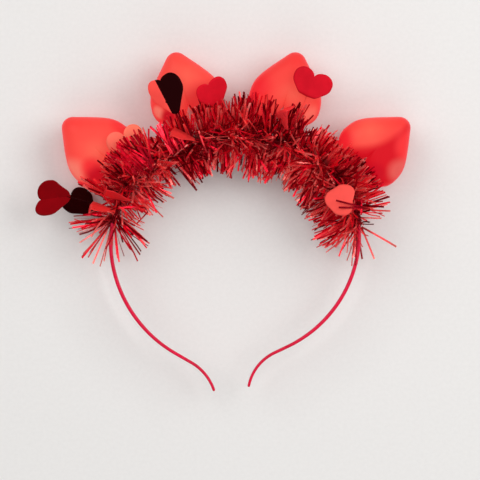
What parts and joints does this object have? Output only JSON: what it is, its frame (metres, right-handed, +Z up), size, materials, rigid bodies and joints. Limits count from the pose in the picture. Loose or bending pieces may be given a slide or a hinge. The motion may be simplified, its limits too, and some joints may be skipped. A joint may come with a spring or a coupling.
{
  "type": "light-up heart headband",
  "caption": "Thin plastic head band wound with red metallised tinsel, carrying glowing puffed hearts on short lamp posts and flat foil hearts among the strips.",
  "frame": {"origin": "on the floor under the middle of the part's box, the headband lying on its side", "axes": "+X across the head, +Y from the band's ends to its crown, +Z up, square to the plane of the band"},
  "size_m": [0.203, 0.1828, 0.0456],
  "materials": {
    "band_plastic": "glossy crimson moulded plastic",
    "tinsel_foil": "bright red metallised film, cut in strips",
    "heart_shell": "translucent red plastic, lit from inside",
    "lamp_plastic": "pale moulded plastic",
    "foil_heart": "bright red metallised film, die-cut flat"
  },
  "bodies": {
    "root": {"band": "band_plastic", "tinsel": "tinsel_foil", "heart_1": "heart_shell", "heart_2": "heart_shell", "heart_3": "heart_shell", "heart_4": "heart_shell", "lamp_1": "lamp_plastic", "lamp_2": "lamp_plastic", "lamp_3": "lamp_plastic", "lamp_4": "lamp_plastic", "foil_heart_1": "foil_heart", "foil_heart_2": "foil_heart", "foil_heart_3": "foil_heart", "foil_heart_4": "foil_heart", "foil_heart_5": "foil_heart", "foil_heart_6": "foil_heart", "foil_heart_7": "foil_heart", "foil_heart_8": "foil_heart", "foil_heart_9": "foil_heart", "foil_heart_10": "foil_heart", "foil_heart_11": "foil_heart"}
  },
  "joints": []
}
